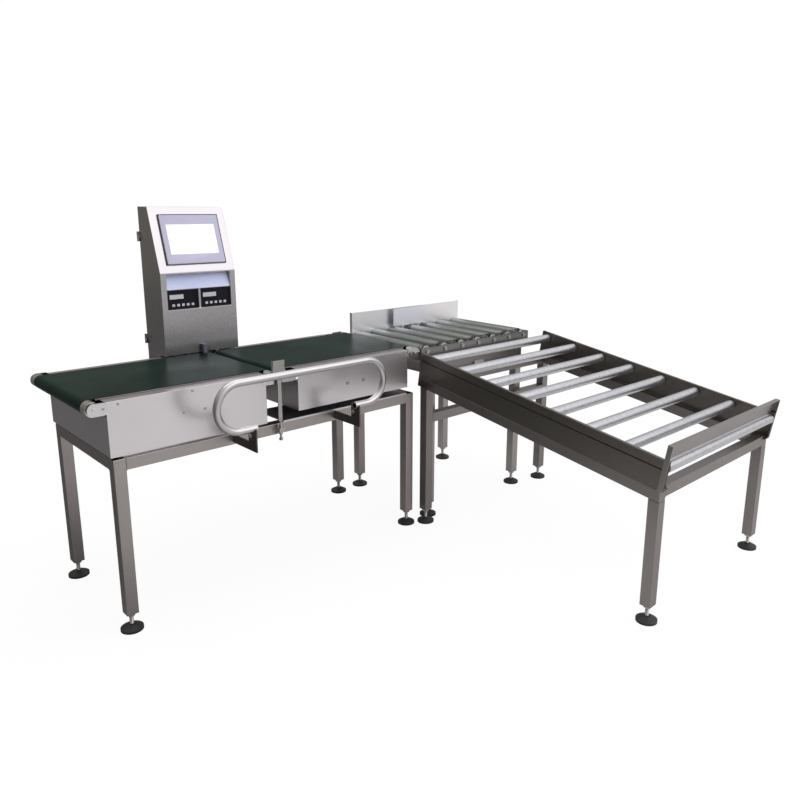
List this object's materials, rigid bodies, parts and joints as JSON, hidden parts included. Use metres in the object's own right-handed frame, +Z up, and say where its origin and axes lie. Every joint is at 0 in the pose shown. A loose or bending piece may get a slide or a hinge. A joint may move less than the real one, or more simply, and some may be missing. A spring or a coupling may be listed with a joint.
{
  "type": "belt checkweigher line with roller reject table",
  "caption": "Belt checkweigher with touch console, powered roller section with side pusher, and sloped gravity roller table on levelling feet.",
  "frame": {"origin": "on the floor under the middle of the scale frame's four legs", "axes": "+X along the product flow over the belts, -Y towards the operator and down the gravity table, +Z up"},
  "size_m": [2.1291, 1.7572, 1.3],
  "materials": {
    "bed_steel": "mill finish",
    "belt_black": "black ribbed rubber",
    "belt_green": "smooth dark green coated fabric",
    "black_plastic": "fine grained",
    "bright_steel": "polished",
    "casing_steel": "fine brushed sheet",
    "cell_aluminium": "machined",
    "channel_steel": "satin sheet",
    "dark_steel": "dark satin",
    "display": "blank pale screen",
    "frame_steel": "satin ground tube",
    "gear_plastic": "light grey",
    "gravity_roller_steel": "bright zinc",
    "motor_paint": "dark grey paint",
    "pad_rubber": "black moulded",
    "panel_plastic": "light bluish grey",
    "reflector_plastic": "faceted clear plastic",
    "roller_steel": "satin zinc",
    "zinc_steel": "plated, slightly dull"
  },
  "bodies": {
    "stand": {"backboard": "casing_steel", "belt_beds": "bed_steel", "bumper_guard": "bright_steel", "console_cabinet": "casing_steel", "console_pedestal": "casing_steel", "control_gear": "gear_plastic", "display_glass": "display", "door_hinges": "zinc_steel", "drive_belts": "belt_black", "end_stop": "casing_steel", "fasteners": "zinc_steel", "feet_pads": "pad_rubber", "feet_stems": "zinc_steel", "gear_motors": "motor_paint", "guard_brackets": "dark_steel", "infeed_belt": "belt_green", "infeed_casing": "casing_steel", "load_cell": "cell_aluminium", "load_cell_carriers": "bed_steel", "meter_modules": "black_plastic", "photo_eye": "black_plastic", "pusher_slide": "bright_steel", "reflector": "reflector_plastic", "reflector_post": "zinc_steel", "reject_frame": "frame_steel", "roller_axles": "zinc_steel", "roller_channels": "casing_steel", "roller_end_plates": "bright_steel", "scale_frame": "frame_steel", "side_channels": "channel_steel", "support_plates": "casing_steel", "table_frame": "frame_steel", "touch_panel": "panel_plastic", "weigh_belt": "belt_green", "weigh_casing": "casing_steel"},
    "infeed_tail_roller": {"infeed_tail_roller": "bright_steel"},
    "infeed_head_roller": {"infeed_head_roller": "bright_steel"},
    "infeed_drive_pulley": {"infeed_drive_pulley": "cell_aluminium"},
    "weigh_left_roller": {"weigh_left_roller": "bright_steel"},
    "weigh_right_roller": {"weigh_right_roller": "bright_steel"},
    "weigh_drive_pulley": {"weigh_drive_pulley": "cell_aluminium"},
    "pusher": {"pusher_plate": "casing_steel", "pusher_carriage": "cell_aluminium"},
    "rear_door": {"rear_door": "casing_steel"},
    "door_lock": {"door_lock": "zinc_steel"},
    "reject_roller_1": {"reject_roller_1": "roller_steel"},
    "reject_roller_2": {"reject_roller_2": "roller_steel"},
    "reject_roller_3": {"reject_roller_3": "roller_steel"},
    "reject_roller_4": {"reject_roller_4": "roller_steel"},
    "reject_roller_5": {"reject_roller_5": "roller_steel"},
    "reject_roller_6": {"reject_roller_6": "roller_steel"},
    "reject_roller_7": {"reject_roller_7": "roller_steel"},
    "table_roller_1": {"table_roller_1": "gravity_roller_steel"},
    "table_roller_2": {"table_roller_2": "gravity_roller_steel"},
    "table_roller_3": {"table_roller_3": "gravity_roller_steel"},
    "table_roller_4": {"table_roller_4": "gravity_roller_steel"},
    "table_roller_5": {"table_roller_5": "gravity_roller_steel"},
    "table_roller_6": {"table_roller_6": "gravity_roller_steel"},
    "table_roller_7": {"table_roller_7": "gravity_roller_steel"},
    "table_roller_8": {"table_roller_8": "gravity_roller_steel"}
  },
  "joints": [
    {"name": "infeed_head_spin", "type": "hinge", "parent": "stand", "child": "infeed_head_roller", "pos_m": [-0.0486, 0, 0.7327], "axis": [0, 1, 0], "continuous": true},
    {"name": "infeed_tail_spin", "type": "hinge", "parent": "stand", "child": "infeed_tail_roller", "pos_m": [-0.6446, 0, 0.7327], "axis": [0, 1, 0], "continuous": true},
    {"name": "infeed_pulley_spin", "type": "hinge", "parent": "stand", "child": "infeed_drive_pulley", "pos_m": [-0.1496, 0.239, 0.6447], "axis": [0, 1, 0], "continuous": true},
    {"name": "weigh_head_spin", "type": "hinge", "parent": "stand", "child": "weigh_right_roller", "pos_m": [0.616, 0, 0.7327], "axis": [0, 1, 0], "continuous": true},
    {"name": "weigh_tail_spin", "type": "hinge", "parent": "stand", "child": "weigh_left_roller", "pos_m": [0, 0, 0.7327], "axis": [0, 1, 0], "continuous": true},
    {"name": "weigh_pulley_spin", "type": "hinge", "parent": "stand", "child": "weigh_drive_pulley", "pos_m": [0.515, 0.239, 0.6447], "axis": [0, 1, 0], "continuous": true},
    {"name": "reject_spin_1", "type": "hinge", "parent": "stand", "child": "reject_roller_1", "pos_m": [0.6818, 0, 0.73], "axis": [0, 1, 0], "continuous": true},
    {"name": "reject_spin_2", "type": "hinge", "parent": "stand", "child": "reject_roller_2", "pos_m": [0.7853, 0, 0.73], "axis": [0, 1, 0], "continuous": true},
    {"name": "reject_spin_3", "type": "hinge", "parent": "stand", "child": "reject_roller_3", "pos_m": [0.8888, 0, 0.73], "axis": [0, 1, 0], "continuous": true},
    {"name": "reject_spin_4", "type": "hinge", "parent": "stand", "child": "reject_roller_4", "pos_m": [0.9923, 0, 0.73], "axis": [0, 1, 0], "continuous": true},
    {"name": "reject_spin_5", "type": "hinge", "parent": "stand", "child": "reject_roller_5", "pos_m": [1.0958, 0, 0.73], "axis": [0, 1, 0], "continuous": true},
    {"name": "reject_spin_6", "type": "hinge", "parent": "stand", "child": "reject_roller_6", "pos_m": [1.1993, 0, 0.73], "axis": [0, 1, 0], "continuous": true},
    {"name": "reject_spin_7", "type": "hinge", "parent": "stand", "child": "reject_roller_7", "pos_m": [1.3028, 0, 0.73], "axis": [0, 1, 0], "continuous": true},
    {"name": "table_spin_1", "type": "hinge", "parent": "stand", "child": "table_roller_1", "pos_m": [1.0413, -0.2984, 0.70191], "axis": [1, 0, 0], "continuous": true},
    {"name": "table_spin_2", "type": "hinge", "parent": "stand", "child": "table_roller_2", "pos_m": [1.0413, -0.44857, 0.67839], "axis": [1, 0, 0], "continuous": true},
    {"name": "table_spin_3", "type": "hinge", "parent": "stand", "child": "table_roller_3", "pos_m": [1.0413, -0.59874, 0.65488], "axis": [1, 0, 0], "continuous": true},
    {"name": "table_spin_4", "type": "hinge", "parent": "stand", "child": "table_roller_4", "pos_m": [1.0413, -0.74891, 0.63136], "axis": [1, 0, 0], "continuous": true},
    {"name": "table_spin_5", "type": "hinge", "parent": "stand", "child": "table_roller_5", "pos_m": [1.0413, -0.89908, 0.60785], "axis": [1, 0, 0], "continuous": true},
    {"name": "table_spin_6", "type": "hinge", "parent": "stand", "child": "table_roller_6", "pos_m": [1.0413, -1.04925, 0.58433], "axis": [1, 0, 0], "continuous": true},
    {"name": "table_spin_7", "type": "hinge", "parent": "stand", "child": "table_roller_7", "pos_m": [1.0413, -1.19942, 0.56081], "axis": [1, 0, 0], "continuous": true},
    {"name": "table_spin_8", "type": "hinge", "parent": "stand", "child": "table_roller_8", "pos_m": [1.0413, -1.34959, 0.5373], "axis": [1, 0, 0], "continuous": true},
    {"name": "pusher_stroke", "type": "slide", "parent": "stand", "child": "pusher", "axis": [0, -1, 0], "range_m": [0, 0.32]},
    {"name": "rear_door_swing", "type": "hinge", "parent": "stand", "child": "rear_door", "pos_m": [-0.2158, 0.373, 1.0285], "axis": [0, 0, 1], "range_deg": [0, 120]},
    {"name": "door_lock_turn", "type": "hinge", "parent": "rear_door", "child": "door_lock", "pos_m": [0.061, 0.373, 1.02775], "axis": [0, 1, 0], "range_deg": [0, 90]}
  ],
  "couplings": [
    {"joint": "infeed_tail_spin", "follows": "infeed_head_spin", "ratio": 1},
    {"joint": "infeed_pulley_spin", "follows": "infeed_head_spin", "ratio": 1.2857},
    {"joint": "weigh_tail_spin", "follows": "weigh_head_spin", "ratio": 1},
    {"joint": "weigh_pulley_spin", "follows": "weigh_head_spin", "ratio": 1.2857},
    {"joint": "reject_spin_2", "follows": "reject_spin_1", "ratio": 1},
    {"joint": "reject_spin_3", "follows": "reject_spin_1", "ratio": 1},
    {"joint": "reject_spin_4", "follows": "reject_spin_1", "ratio": 1},
    {"joint": "reject_spin_5", "follows": "reject_spin_1", "ratio": 1},
    {"joint": "reject_spin_6", "follows": "reject_spin_1", "ratio": 1},
    {"joint": "reject_spin_7", "follows": "reject_spin_1", "ratio": 1}
  ]
}
